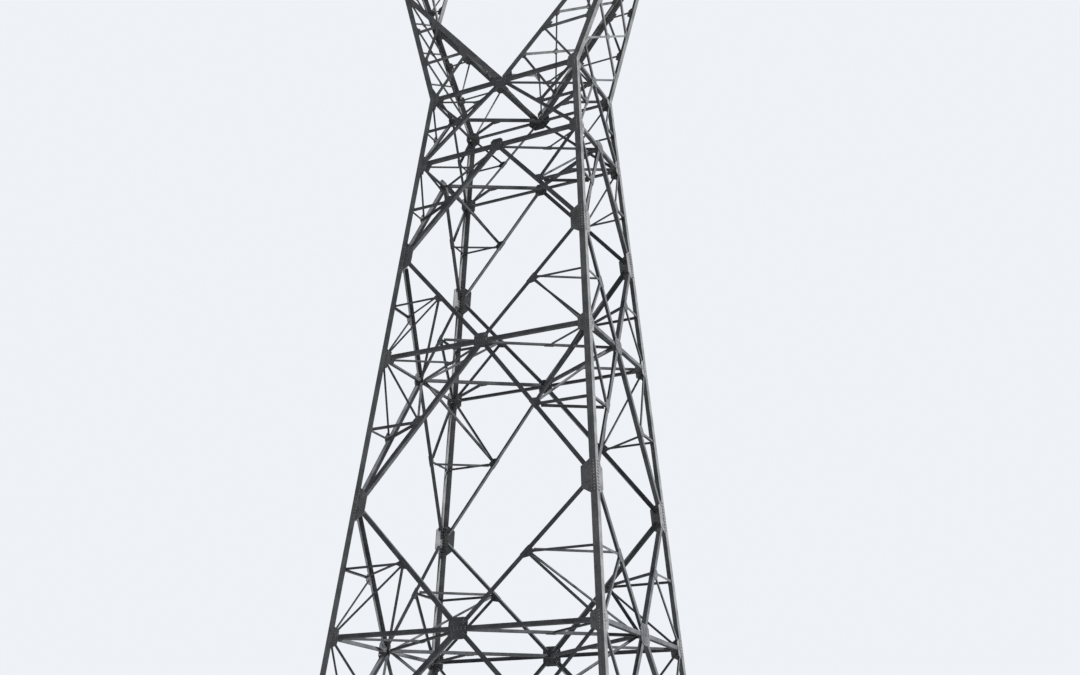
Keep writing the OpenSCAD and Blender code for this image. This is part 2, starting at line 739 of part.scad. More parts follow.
// Half of the width and the height of the top chord at a distance from the root
function arm_half(x) = bridge_half_y - arm_in * x;
function arm_top(x) = bridge_top - arm_fall * x;

// Side of a crossarm: x along the chord in plan, y up
module crossarm_side() {
    stretch = 1 / cos(arm_turn);
    pitch = arm_run / arm_panels;
    translate([crossarm_root, -bridge_half_y, 0]) rotate([0, 0, arm_turn]) rotate([90, 0, 0]) {
        for (n = [1:arm_panels]) {
            a = (n - 1) * pitch + corner_clear;
            b = n * pitch - corner_clear;
            rising = n % 2 == 1;
            lace_bar(
                [a * stretch, rising ? bridge_h + corner_clear : arm_top(a) - corner_clear],
                [b * stretch, rising ? arm_top(b) - corner_clear : bridge_h + corner_clear], 0, 0, 1);
        }
        for (n = [1:arm_panels - 1])
            lace_bar(
                [n * pitch * stretch, bridge_h + lace_clear],
                [n * pitch * stretch, arm_top(n * pitch) - corner_clear], 0, 0, -1);
        for (n = [0:arm_panels - 1]) {
            flange_plate([for (v = panel_outline()) [max(gap, n * pitch + v.x) * stretch, bridge_h + v.y]]);
            flange_plate([
                for (v = panel_outline())
                    let (x = max(gap, n * pitch + v.x)) [x * stretch, arm_top(x) - v.y]
            ]);
        }
        flange_plate([
            [(arm_run - tip_plate_w) * stretch, bridge_h + plate_clear],
            [arm_run * stretch, bridge_h + plate_clear],
            [arm_run * stretch, arm_top(arm_run) - plate_clear],
            [(arm_run - tip_plate_w) * stretch, arm_top(arm_run - tip_plate_w) - plate_clear],
        ]);
    }
}

// Bottom or top of a crossarm: x along the axis, y across
module crossarm_lacing(stretch) {
    pitch = arm_run / arm_panels;
    for (n = [1:arm_panels]) {
        a = (n - 1) * pitch + corner_clear;
        b = n * pitch - corner_clear;
        s = n % 2 == 0 ? 1 : -1;
        lace_bar(
            [a * stretch, s * (arm_half(a) - corner_clear)],
            [b * stretch, -s * (arm_half(b) - corner_clear)], 0, 0, 1);
    }
    for (n = [1:arm_panels - 1]) {
        y = arm_half(n * pitch) - lace_clear - rim;
        lace_bar([n * pitch * stretch, -y], [n * pitch * stretch, y], 0, 0, -1);
    }
    for (n = [0:arm_panels - 1])
        for (s = [-1, 1])
            flange_plate([
                for (v = panel_outline())
                    let (x = max(gap, n * pitch + v.x)) [x * stretch, s * (arm_half(x) - v.y)]
            ]);
    flange_plate([
        for (v = [[arm_run - tip_plate_w, -1], [arm_run, -1], [arm_run, 1], [arm_run - tip_plate_w, 1]])
            [v.x * stretch, v.y * (arm_half(v.x) - plate_clear)]
    ]);
}

module crossarm() color(steel) {
    intersection() {
        union()
            for (s = [-1, 1]) {
                n = unit([-arm_in, -s, 0]);
                under = unit([-arm_fall, 0, -1]);
                a = -chord_w;
                b = arm_run + chord_w;
                corner_angle([crossarm_root + a, s * arm_half(a), bridge_h],
                    [crossarm_root + b, s * arm_half(b), bridge_h], n, [0, 0, 1], chord_w, leg_t);
                corner_angle([crossarm_root + a, s * arm_half(a), arm_top(a)],
                    [crossarm_root + b, s * arm_half(b), arm_top(b)], n, under, chord_w, leg_t);
            }
        translate([crossarm_root, -far, bridge_h]) cube([arm_run, 2 * far, bridge_d]);
    }
    for (m = [0, 1]) mirror([0, m, 0]) crossarm_side();
    translate([crossarm_root, 0, bridge_h]) rotate([180, 0, 0]) crossarm_lacing(1);
    translate([crossarm_root, 0, bridge_top]) rotate([0, arm_dip, 0]) crossarm_lacing(1 / cos(arm_dip));
    seat_half = tip_half - chord_w - gap;
    translate([crossarm_reach - hanger_w, -seat_half, bridge_h]) cube([hanger_w, 2 * seat_half, leg_t]);
    translate([crossarm_reach, -tip_half, bridge_h]) cube([plate_t, 2 * tip_half, tip_h]);
}

// Hanger plates for the insulator strings

// Distance of the hole's centre below the hanger's seat
hanger_hole_drop = 0.7 * hanger_drop;

module hanger(x, top) color(plate_grey) {
    low_half = hanger_w / 4;
    translate([x, hanger_t / 2, top]) rotate([90, 0, 0]) difference() {
        linear_extrude(hanger_t) polygon([
            [-hanger_w / 2, 0], [-low_half, -hanger_drop], [low_half, -hanger_drop], [hanger_w / 2, 0],
        ]);
        translate([0, -hanger_hole_drop, -1]) cylinder(r = hanger_hole_r, h = hanger_t + 2, $fn = 32);
    }
}

// Earth wire peaks, made for the right side

peak_in_x = window_top_half + leg_w;
peak_out_x = outer_x(bridge_h);
peak_x = (peak_in_x + 3 * peak_out_x) / 4;
peak_chord_w = 0.75 * chord_w;
peak_lace_w = 0.8 * lace_w;
// Distance of each earth wire bolt from the middle of the top plate
earth_bolt_x = 0.6 * chord_w;
// How far the peak's chords run on before they are cut off level, as a share of its height
peak_over = 0.05;
// Levels of the peak's bars as shares of its height
peak_levels = [0.03, 0.36, 0.66, 0.98];

function peak_point(sx, sy, f) = [
    (sx < 0 ? peak_in_x : peak_out_x) * (1 - f) + (peak_x + sx * chord_w / 2) * f,
    sy * ((bridge_half_y - chord_w / 4) * (1 - f) + chord_w / 2 * f),
    bridge_top + peak_rise * f,
];

module peak() color(steel) {
    low = -peak_over;
    high = 1 + peak_over;
    between_heights(bridge_top, bridge_top + peak_rise)
        for (sx = [-1, 1])
            for (sy = [-1, 1])
                space_bar(peak_point(sx, sy, low), peak_point(sx, sy, high), peak_chord_w, lace_t);
    for (n = [0:len(peak_levels) - 2]) {
        a = peak_levels[n];
        b = peak_levels[n + 1];
        for (s = [-1, 1]) {
            space_bar(peak_point(-1, s, a), peak_point(1, s, b), peak_lace_w, lace_t);
            space_bar(peak_point(s, -1, a), peak_point(s, 1, b), peak_lace_w, lace_t);
            space_bar(peak_point(-1, s, b), peak_point(1, s, b), peak_lace_w, lace_t);
            space_bar(peak_point(s, -1, b), peak_point(s, 1, b), peak_lace_w, lace_t);
        }
    }
    translate([peak_x, 0, bridge_top + peak_rise]) difference() {
        translate([-chord_w, -chord_w, 0]) cube([2 * chord_w, 2 * chord_w, plate_t]);
        for (s = [-1, 1])
            translate([s * earth_bolt_x, 0, -1]) cylinder(r = hanger_hole_r, h = plate_t + 2, $fn = 32);
    }
}

module left() mirror([1, 0, 0]) children();
module back() mirror([0, 1, 0]) children();

base_plate(3);  // base_plate_front_left
base_plate(0);  // base_plate_front_right
base_plate(2);  // base_plate_back_left
base_plate(1);  // base_plate_back_right
leg(3);  // leg_front_left
leg(0);  // leg_front_right
leg(2);  // leg_back_left
leg(1);  // leg_back_right
ring(0);  // low_ring
ring(1);  // middle_ring
ring(2);  // high_ring
ring(3);  // waist_ring
corner_bracing(3, 0);  // low_bracing_front_left
corner_bracing(0, 0);  // low_bracing_front_right
corner_bracing(2, 0);  // low_bracing_back_left
corner_bracing(1, 0);  // low_bracing_back_right
corner_bracing(3, 1);  // middle_bracing_front_left
corner_bracing(0, 1);  // middle_bracing_front_right
corner_bracing(2, 1);  // middle_bracing_back_left
corner_bracing(1, 1);  // middle_bracing_back_right
corner_bracing(3, 2);  // high_bracing_front_left
corner_bracing(0, 2);  // high_bracing_front_right
corner_bracing(2, 2);  // high_bracing_back_left
corner_bracing(1, 2);  // high_bracing_back_right
waist_bracing(0);  // waist_bracing_front
waist_bracing(2);  // waist_bracing_back
waist_bracing(3);  // waist_bracing_left
waist_bracing(1);  // waist_bracing_right
left() arm_lower_front();  // left_arm_lower_front
left() back() arm_lower_front();  // left_arm_lower_back
arm_lower_front();  // right_arm_lower_front
back() arm_lower_front();  // right_arm_lower_back
left() arm_upper_front();  // left_arm_upper_front
left() back() arm_upper_front();  // left_arm_upper_back
arm_upper_front();  // right_arm_upper_front
back() arm_upper_front();  // right_arm_upper_back
left() arm_outer_lacing();  // left_arm_outer_lacing
arm_outer_lacing();  // right_arm_outer_lacing
left() arm_lower_lacing();  // left_arm_lower_lacing
arm_lower_lacing();  // right_arm_lower_lacing
left() arm_upper_lacing();  // left_arm_upper_lacing
arm_upper_lacing();  // right_arm_upper_lacing
bridge_front();
back() bridge_front();  // bridge_back
bridge_top_lacing();
bridge_bottom_lacing();
left() crossarm();  // crossarm_left
crossarm();  // crossarm_right
left() peak();  // peak_left
peak();  // peak_right
hanger(hanger_w / 2 - crossarm_reach, bridge_h);  // hanger_left
hanger(crossarm_reach - hanger_w / 2, bridge_h);  // hanger_right
hanger(0, bridge_h);  // hanger_centre
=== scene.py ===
import math

import bpy
from mathutils import Matrix, Vector
from mathutils.bvhtree import BVHTree


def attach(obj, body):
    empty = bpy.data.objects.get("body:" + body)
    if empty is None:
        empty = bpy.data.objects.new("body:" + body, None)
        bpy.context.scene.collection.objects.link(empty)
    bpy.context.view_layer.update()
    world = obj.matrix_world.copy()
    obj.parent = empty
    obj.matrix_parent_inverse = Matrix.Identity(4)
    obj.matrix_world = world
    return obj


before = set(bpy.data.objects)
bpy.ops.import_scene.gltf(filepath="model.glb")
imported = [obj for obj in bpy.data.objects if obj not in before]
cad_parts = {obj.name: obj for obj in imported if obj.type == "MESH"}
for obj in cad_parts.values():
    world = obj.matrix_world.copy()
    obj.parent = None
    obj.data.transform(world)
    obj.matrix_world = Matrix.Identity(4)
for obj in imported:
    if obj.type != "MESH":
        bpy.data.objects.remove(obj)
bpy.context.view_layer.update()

# Camera: focal length, place and angles fitted to points of the photograph, which has 1080 x 675 pixels
IMAGE_WIDTH = 1080
FOCAL_PIXELS = 1170.2
SENSOR = 36.0
CLIP_END = 500.0
CAMERA_PLACE = Vector((13.611, -25.386, 0.189))
CAMERA_YAW = math.radians(-26.89)
CAMERA_PITCH = math.radians(22.96)
CAMERA_ROLL = math.radians(0.86)

# Sizes of the pylon in metres, as in the construction
BASE_X, BASE_Y, LEAN = 3.900, 2.760, 0.0776
FOOT_NODE, LOWER_NODE, UPPER_NODE = 0.800, 7.640, 14.630
LOW_RING, MIDDLE_RING, HIGH_RING, WAIST = RINGS = (4.390, 11.610, 17.630, 19.870)
APEX = WAIST + 0.090
ELBOW = WAIST + 4.360
BRIDGE = ELBOW + 2.650
BRIDGE_TOP = BRIDGE + 1.400
FORK_OUT = 0.320
ELBOW_GAP = 0.215
WINDOW_TOP_HALF = 2.740
BRIDGE_OVER = 0.140
ARM_RUN = 3.660
TIP_HEIGHT, TIP_HALF = 0.320, 0.170
LEG_W, LEG_T, PLATE_T = 0.160, 0.014, 0.012
DIAG_W, STRUT_W, STRUT_T, PLAN_W, LACE_W, LACE_T = 0.110, 0.100, 0.009, 0.080, 0.060, 0.006
GAP = 0.012
BAR_DEPTH = LEG_T + PLATE_T
LACE_CLEAR = BAR_DEPTH + LACE_W + GAP
STRUT_CLEAR = BAR_DEPTH + STRUT_W + GAP
CORNER_CLEAR = LACE_CLEAR + LACE_W / 2
MID_GUSSET = 0.250
MID_SHARE = (1.0, 0.8, 0.74, 0.66)
LEG_GUSSET, CORNER_GUSSET, CHORD_GUSSET, SIDE_GUSSET = 0.420, 0.250, 0.150, 0.1125
FOLD = math.hypot(1.0, LEAN)
TILT = math.atan(LEAN)
QUARTER = math.pi / 2
HALF_TURN = math.pi
UP = Vector((0.0, 0.0, 1.0))


# Places on the pylon

def half_x(h):
    return BASE_X - LEAN * h


def half_y(h):
    return BASE_Y - LEAN * h


def face_half(i, h):
    """Half of the width of face i at a height: 0 front, 1 right, 2 back, 3 left."""
    return half_x(h) if i % 2 == 0 else half_y(h)


def leg_point(i, h, x, y):
    """Point of a face beside its right leg: x from the heel inward, y along the leg."""
    return Vector((face_half(i, h) - x * math.cos(TILT) - y * math.sin(TILT),
                   h * FOLD - x * math.sin(TILT) + y * math.cos(TILT)))


def plane(azimuth, off, slope):
    """Frame of a leaning plane: x along it, y up it, z out of it."""
    return (Matrix.Rotation(math.radians(azimuth), 4, "Z") @ Matrix.Translation((0.0, -off, 0.0))
            @ Matrix.Rotation(QUARTER - math.atan(slope), 4, "X"))


FACES = [plane(90 * i, BASE_Y if i % 2 == 0 else BASE_X, LEAN) for i in range(4)]
SAME = Matrix.Identity(4)
MIRROR_X = Matrix.Diagonal((-1.0, 1.0, 1.0, 1.0))
MIRROR_Y = Matrix.Diagonal((1.0, -1.0, 1.0, 1.0))
SIDES = (SAME, MIRROR_X)
FRONT_AND_BACK = (SAME, MIRROR_Y)


def outer_x(h):
    return half_x(WAIST) + FORK_OUT * (h - WAIST)


ELBOW_X = outer_x(ELBOW) - ELBOW_GAP
IN_LOW = ELBOW_X / (ELBOW - APEX)
IN_HIGH = (ELBOW_X - WINDOW_TOP_HALF) / (BRIDGE - ELBOW)
ROOT = outer_x(BRIDGE) + BRIDGE_OVER
BRIDGE_HALF = half_y(BRIDGE)
OUTER_PLANE = plane(90, outer_x(0.0), -FORK_OUT)
INNER_LOW_PLANE = plane(270, IN_LOW * APEX, IN_LOW)
INNER_HIGH_PLANE = plane(270, -ELBOW_X - IN_HIGH * ELBOW, -IN_HIGH)


def inner_x(h):
    return IN_LOW * (h - APEX) if h < ELBOW else ELBOW_X - IN_HIGH * (h - ELBOW)


def chord_point(inner, h, x, y):
    """Point on the front flange of a fork chord: x across it from the heel, y up from height h."""
    if inner:
        across = x * math.hypot(1.0, IN_LOW if h < ELBOW else IN_HIGH)
        return Vector((inner_x(h + y) + across, (h + y) * FOLD))
    return Vector((outer_x(h + y) - x * math.hypot(1.0, FORK_OUT), (h + y) * FOLD))


def slope_angle(p, q):
    return math.atan2(abs(q[1] - p[1]), abs(q[0] - p[0]))


def edge_cut(angle, w, band):
    """Cut that ends a bar of width w short of a band that runs through its work point at an angle to it."""
    return (band / 2 + w / 2 * abs(math.cos(angle))) / math.sin(angle) + GAP


def main_cut(angle, w, band):
    """Cut of a bar that meets a band as well as its own mirror image."""
    return max(edge_cut(angle, w, band), edge_cut(QUARTER - angle, w, 0.0))


# Meshes made from rings of points

class Group:
    """Points and faces of one mesh, added to part by part."""

    def __init__(self):
        self.points = []
        self.faces = []

    def add(self, shape, place):
        points, faces = shape
        start = len(self.points)
        turned_over = place.determinant() < 0
        self.points.extend(place @ Vector(p) for p in points)
        for face in faces:
            order = reversed(face) if turned_over else face
            self.faces.append([start + n for n in order])

    def build(self, name, material):
        mesh = bpy.data.meshes.new(name)
        mesh.from_pydata(self.points, [], self.faces)
        mesh.materials.append(material)
        made = bpy.data.objects.new(name, mesh)
        bpy.context.scene.collection.objects.link(made)
        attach(made, "root")


def lathe(sides, levels):
    """Closed upright solid with this number of sides through the (radius, height) levels."""
    points = []
    for radius, height in levels:
        for n in range(sides):
            a = 2 * math.pi * n / sides
            points.append((radius * math.cos(a), radius * math.sin(a), height))
    faces = [tuple(reversed(range(sides)))]
    for row in range(len(levels) - 1):
        low = row * sides
        for n in range(sides):
            m = (n + 1) % sides
            faces.append((low + n, low + m, low + sides + m, low + sides + n))
    top = (len(levels) - 1) * sides
    faces.append(tuple(range(top, top + sides)))
    return points, faces


def closed_faces(count):
    """Faces of a solid between two rings of points, of which the first is the lower one."""
    faces = [(n, (n + 1) % count, (n + 1) % count + count, n + count) for n in range(count)]
    return faces + [tuple(reversed(range(count))), tuple(range(count, 2 * count))]


def prism(outline, low, high):
    """Solid between two heights over an outline that runs anticlockwise."""
    points = [(x, y, z) for z in (low, high) for x, y in outline]
    return points, closed_faces(len(outline))


# Steel surfaces of the construction, on which the bolts are seated

def steel_surfaces():
    points = []
    faces = []
    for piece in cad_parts.values():
        start = len(points)
        points.extend(piece.matrix_world @ vertex.co for vertex in piece.data.vertices)
        faces.extend([start + n for n in face.vertices] for face in piece.data.polygons)
    return BVHTree.FromPolygons(points, faces)


STEEL = steel_surfaces()
# How far in front of a face's outer surface and behind it the search for steel starts
SEARCH_OUT, SEARCH_IN = 0.030, 0.060
# How unequal a seat may be under a washer, and how square to the bolt
FLAT, SQUARE = 0.0008, 0.995
THINNEST_JOINT = 0.016
# Radii and heights of a washer, a head, a nut and the end of the thread, as shares of the bolt's diameter
WASHER, WASHER_H = 0.92, 0.14
HEXAGON, HEAD_H, NUT_H = 0.86, 0.62, 0.94
HEAD_TOP, HEAD_TOP_H = 0.74, 0.74
THREAD, THREAD_H = 0.50, 1.30
THREAD_TOP, THREAD_TOP_H = 0.40, 1.38
# Numbers of sides of a washer, of a head or nut, and of the thread
WASHER_SIDES, HEX_SIDES, THREAD_SIDES = 10, 6, 8
# Turn of a bolt's hexagon for each metre of its place, so that neighbours are turned differently
SPIN = 37.0
# Middle of a washer of radius 1 and six spots on its rim
RIM = [(0.0, 0.0)] + [(math.cos(n * math.pi / 3), math.sin(n * math.pi / 3)) for n in range(6)]


def seats(place, x, y, d):
    """Depths of the two surfaces under the washers of a bolt, or None where they wouldn't lie flat."""
    out = (place.to_3x3() @ UP).normalized()
    found = []
    for start, way in ((SEARCH_OUT, -1), (-SEARCH_IN, 1)):
        depths = []
        for u, v in RIM:
            origin = place @ Vector((x + WASHER * d * u, y + WASHER * d * v, start))
            spot, normal, _, distance = STEEL.ray_cast(origin, way * out, SEARCH_OUT + SEARCH_IN)
            if spot is None or normal.dot(-way * out) < SQUARE:
                return None
            depths.append(start + way * distance)
        if max(depths) - min(depths) > FLAT:
            return None
        found.append(sum(depths) / len(depths))
    return found if found[0] - found[1] > THINNEST_JOINT else None


def bolt_part(sides, d, levels):
    return lathe(sides, [(radius * d, height * d) for radius, height in levels])


def washer(d):
    return bolt_part(WASHER_SIDES, d, [(WASHER, 0.0), (WASHER, WASHER_H)])


def bolt_head(d):
    """Washer and hexagon head with a turned edge."""
    head = bolt_part(HEX_SIDES, d, [(HEXAGON, WASHER_H), (HEXAGON, HEAD_H), (HEAD_TOP, HEAD_TOP_H)])
    return washer(d), head


def bolt_nut(d):
    """Washer, nut and the end of the thread."""
    return (washer(d), bolt_part(HEX_SIDES, d, [(HEXAGON, WASHER_H), (HEXAGON, NUT_H)]),
            bolt_part(THREAD_SIDES, d, [(THREAD, NUT_H), (THREAD, THREAD_H), (THREAD_TOP, THREAD_TOP_H)]))


M16, M20, M24 = 0.016, 0.020, 0.024
HEADS = {d: bolt_head(d) for d in (M16, M20, M24)}
NUTS = {d: bolt_nut(d) for d in (M16, M20, M24)}
NUT_SIDE = Matrix.Rotation(HALF_TURN, 4, "X")


def bolt(group, place, x, y, d):
    """Bolt through the steel at a spot of a plane, its head outside; none where it would lack a flat seat."""
    depths = seats(place, x, y, d)
    if depths is None:
        return
    spin = Matrix.Rotation(SPIN * (x + 2 * y), 4, "Z")
    for shape in HEADS[d]:
        group.add(shape, place @ Matrix.Translation((x, y, depths[0])) @ spin)
    for shape in NUTS[d]:
        group.add(shape, place @ Matrix.Translation((x, y, depths[1])) @ NUT_SIDE @ spin)


# Distance from a bar's end to its first bolt, between bolts, and of the two rows of a wide bar
# from its middle as a share of its width
END_BOLT, NEXT_BOLT, ROW = 0.030, 0.052, 0.22
WIDE_BAR = 0.090
SHIFTS = (0.0, 0.010, 0.020, 0.030, 0.040)


def end_bolts(group, place, p, q, w, cut_p, cut_q, count, d):
    """Bolts near both ends of a bar, moved along it until they sit flat."""
    p = Vector((p[0], p[1]))
    run = Vector((q[0], q[1])) - p
    along = run.normalized()
    across = Vector((-along.y, along.x))
    rows = (-ROW * w, ROW * w) if w > WIDE_BAR else (0.0,)
    for start, way in ((cut_p, 1), (run.length - cut_q, -1)):
        at = start + way * END_BOLT
        for _ in range(count):
            for shift in SHIFTS:
                spots = [p + along * (at + way * shift) + across * row for row in rows]
                if all(seats(place, spot.x, spot.y, d) for spot in spots):
                    break
            for spot in spots:
                bolt(group, place, spot.x, spot.y, d)
            at += way * (shift + NEXT_BOLT)


# Distances from a heel to the bolts in a flange, and between these along it, for the big leg gussets, the
# gussets at the rings and the rest
LEG_ROWS, CORNER_ROWS, FLANGE_ROWS = (0.072, 0.128), (0.095,), (0.082,)
LEG_PITCH, CORNER_PITCH, SIDE_PITCH, WAIST_PITCH = 0.078, 0.075, 0.070, 0.062
# Shortest distance from a gusset's end to its first bolt
COLUMN_END = 0.035


def column(group, place, spot, half, pitch, d, across=FLANGE_ROWS):
    """Column of bolts along a flange: spot(x, y) is x from the heel and y along the flange."""
    count = int(2 * (half - COLUMN_END) / pitch)
    for n in range(count + 1):
        y = (n - count / 2) * pitch
        for x in across:
            at = spot(x, y)
            bolt(group, place, at[0], at[1], d)


leg_bolts = Group()
brace_bolts = Group()
head_bolts = Group()


# Bolts of the legs and the body

def body_columns():
    half = CORNER_GUSSET / 2
    for i, face in enumerate(FACES):
        for side in SIDES:
            place = face @ side
            for h in (FOOT_NODE, LOWER_NODE, UPPER_NODE):
                column(leg_bolts, place, lambda x, y: leg_point(i, h, x, y), LEG_GUSSET, LEG_PITCH, M24,
                       LEG_ROWS)
            for h in (LOW_RING, MIDDLE_RING, HIGH_RING):
                column(leg_bolts, place, lambda x, y: leg_point(i, h, x, y), CORNER_GUSSET, CORNER_PITCH,
                       M20, CORNER_ROWS)
            column(leg_bolts, place, lambda x, y: leg_point(i, WAIST, x, y - half), half, WAIST_PITCH, M20)
            if i % 2 == 0:
                column(leg_bolts, place, lambda x, y: chord_point(False, WAIST + half, x, y), half,
                       WAIST_PITCH, M20)


# Distances of the bolts of a diagonal's middle gusset from its middle, and shares of half a ring gusset
MIDDLE_BOLTS = (-0.065, 0.0, 0.065)
GUSSET_SHARES = (-0.76, -0.38, 0.0, 0.38, 0.76)


def half_panel_bolts(i, ring, leg_node):
    """Bolts of the triangle between the right leg, a ring strut and the main diagonal of face i."""
    m = Vector((0.0, ring * FOLD))
    w = leg_point(i, leg_node, LEG_W / 2, 0.0)
    c = leg_point(i, ring, LEG_W / 2, 0.0)
    d = (m + w) / 2
    a = slope_angle(m, w)
    b = slope_angle(d, c)
    along = (w - m).normalized()
    for side in SIDES:
        place = FACES[i] @ side
        end_bolts(brace_bolts, place, m, w, DIAG_W, main_cut(a, DIAG_W, STRUT_W),
                  edge_cut(QUARTER - a, DIAG_W, LEG_W), 2, M20)
        end_bolts(brace_bolts, place, d, (face_half(i, d.y / FOLD), d.y), LACE_W,
                  edge_cut(a, LACE_W, DIAG_W), LACE_CLEAR, 1, M16)
        end_bolts(brace_bolts, place, d, c, LACE_W, edge_cut(a + b, LACE_W, DIAG_W),
                  edge_cut(b, LACE_W, STRUT_W), 1, M16)
        for s in MIDDLE_BOLTS:
            spot = d + along * s
            bolt(brace_bolts, place, spot.x, spot.y, M16)


def waist_half_bolts(i):
    """Bolts of the right half of a panel between the high ring and the waist."""
    top = Vector((0.0, WAIST * FOLD))
    w = leg_point(i, HIGH_RING, LEG_W / 2, 0.0)
    c = leg_point(i, WAIST, LEG_W / 2, 0.0)
    d = (top + w) / 2
    a = slope_angle(top, w)
    b = slope_angle(d, c)
    leg_cut = edge_cut(a, PLAN_W, STRUT_W)
    for side in SIDES:
        place = FACES[i] @ side
        end_bolts(brace_bolts, place, w, top, PLAN_W, leg_cut,
                  max(leg_cut, edge_cut(QUARTER - a, PLAN_W, 0.0)), 2, M16)
        end_bolts(brace_bolts, place, d, (face_half(i, d.y / FOLD), d.y), LACE_W,
                  edge_cut(a, LACE_W, PLAN_W), LACE_CLEAR, 1, M16)
        end_bolts(brace_bolts, place, d, c, LACE_W, edge_cut(a + b, LACE_W, PLAN_W),
                  edge_cut(b, LACE_W, STRUT_W), 1, M16)


def ring_bolts(i, r):
    """Bolts at the ends and in the middle of a ring's strut."""
    h = RINGS[r]
    x = face_half(i, h) - STRUT_CLEAR
    y = h * FOLD
    end_bolts(brace_bolts, FACES[i], (-x, y), (x, y), STRUT_W, 0.0, 0.0, 2, M20)
    half = MID_SHARE[r] * MID_GUSSET
    for share in GUSSET_SHARES:
        for row in (-ROW * STRUT_W, ROW * STRUT_W):
            bolt(brace_bolts, FACES[i], share * half, y + row, M20)


def lip_height(h):
    """Height of the level plates of a ring's plan bracing, which run through the struts' lips."""
    return h - STRUT_W / 2 + STRUT_T / 2 - LEAN * (BAR_DEPTH + STRUT_W / 2)


def ring_plan_bolts(h):
    """Bolts of the level bracing inside a ring."""
    x = half_x(h) - BAR_DEPTH - STRUT_W
    y = half_y(h) - BAR_DEPTH - STRUT_W
    a = math.atan(y / x)
    cut = main_cut(a, PLAN_W, 0.0)
    inset = STRUT_CLEAR + LACE_W
    corner = Vector((half_x(h) - inset, half_y(h) - inset))
    mid = Vector((x, y)) / 2
    b = math.atan2(corner.y - mid.y, corner.x - mid.x)
    level = Matrix.Translation((0.0, 0.0, lip_height(h) - BAR_DEPTH + PLATE_T / 2)) @ NUT_SIDE
    for side in SIDES:
        for way in FRONT_AND_BACK:
            place = level @ side @ way
            end_bolts(brace_bolts, place, (x, 0.0), (0.0, y), PLAN_W, cut, cut, 2, M16)
            end_bolts(brace_bolts, place, mid, corner, LACE_W, edge_cut(a + b, LACE_W, PLAN_W), 0.0, 1, M16)


PANELS = ((LOW_RING, FOOT_NODE), (LOW_RING, LOWER_NODE), (MIDDLE_RING, LOWER_NODE),
          (MIDDLE_RING, UPPER_NODE), (HIGH_RING, UPPER_NODE))
body_columns()
for i in range(4):
    for ring, leg_node in PANELS:
        half_panel_bolts(i, ring, leg_node)
    waist_half_bolts(i)
    for r in range(4):
        ring_bolts(i, r)
for h in RINGS:
    ring_plan_bolts(h)


# Bolts of the fork

def rises(low, high, shares):
    return [low + share * (high - low) for share in shares]


LOWER_FRONT = rises(WAIST, ELBOW, (0.34, 0.65))
UPPER_FRONT = rises(ELBOW, BRIDGE, (0.26, 0.58, 0.92))
LOWER_SIDE = rises(WAIST, ELBOW, (0.16, 0.46, 0.76))
LOWER_INNER = rises(WAIST, ELBOW, (0.183, 0.46, 0.76))
UPPER_SIDE = rises(ELBOW, BRIDGE, (0.06, 0.5, 0.94))
# Distance of the elbow gussets' bolts above and below the elbow
ELBOW_SHIFT = 0.25


def arm_front_bolts(place):
    """Bolts between the chords of one arm, on its front or its back."""
    for h in LOWER_FRONT + UPPER_FRONT[:2]:
        end_bolts(head_bolts, place, chord_point(True, h, LACE_CLEAR + LACE_W / 2, 0.0),
                  chord_point(False, h, LACE_CLEAR, 0.0), LACE_W, 0.0, 0.0, 1, M16)
    for inner in (False, True):
        for h in LOWER_FRONT + (UPPER_FRONT if inner else UPPER_FRONT[:2]):
            column(head_bolts, place, lambda x, y: chord_point(inner, h, x, y), CHORD_GUSSET,
                   CORNER_PITCH, M16)
        for shift in (-ELBOW_SHIFT, ELBOW_SHIFT):
            column(head_bolts, place, lambda x, y: chord_point(inner, ELBOW + shift, x, y), CHORD_GUSSET,
                   CORNER_PITCH, M20)
    for low, high, low_band, high_band in (
            (WAIST, LOWER_FRONT[0], STRUT_W, LACE_W), (LOWER_FRONT[0], LOWER_FRONT[1], LACE_W, LACE_W),
            (UPPER_FRONT[0], UPPER_FRONT[1], LACE_W, LACE_W), (UPPER_FRONT[1], UPPER_FRONT[2], LACE_W, 0.0)):
        p = chord_point(False, low, LEG_W / 2, 0.0)
        q = chord_point(True, high, LEG_W / 2, 0.0)
        a = slope_angle(p, q)
        end_bolts(head_bolts, place, p, q, LACE_W, edge_cut(a, LACE_W, low_band),
                  edge_cut(a, LACE_W, high_band), 1, M16)


def side_gusset_bolts(place, h, stretch):
    for side in SIDES:
        column(head_bolts, place @ side, lambda x, y: (half_y(h + y / stretch) - x, h * stretch + y),
               SIDE_GUSSET, SIDE_PITCH, M16)


def crossed_bolts(place, levels, stretch):
    """Bolts of the crossed bars between the front and the back chord of one side of an arm."""
    for low, high in zip(levels, levels[1:]):
        p = Vector((half_y(low) - LACE_CLEAR, low * stretch))
        q = Vector((half_y(high) - LACE_CLEAR, high * stretch))
        o = Vector((0.0, p.y + (q.y - p.y) * p.x / (p.x + q.x)))
        a = slope_angle(p, o)
        cut = edge_cut(a, LACE_W, 0.0)
        cross_cut = edge_cut(2 * a, LACE_W, LACE_W)
        end_bolts(head_bolts, place, p, (-q.x, q.y), LACE_W, cut, cut, 1, M16)
        end_bolts(head_bolts, place, (-p.x, p.y), o, LACE_W, cut, cross_cut, 1, M16)
        end_bolts(head_bolts, place, o, q, LACE_W, cross_cut, cut, 1, M16)
    for h in levels:
        side_gusset_bolts(place, h, stretch)


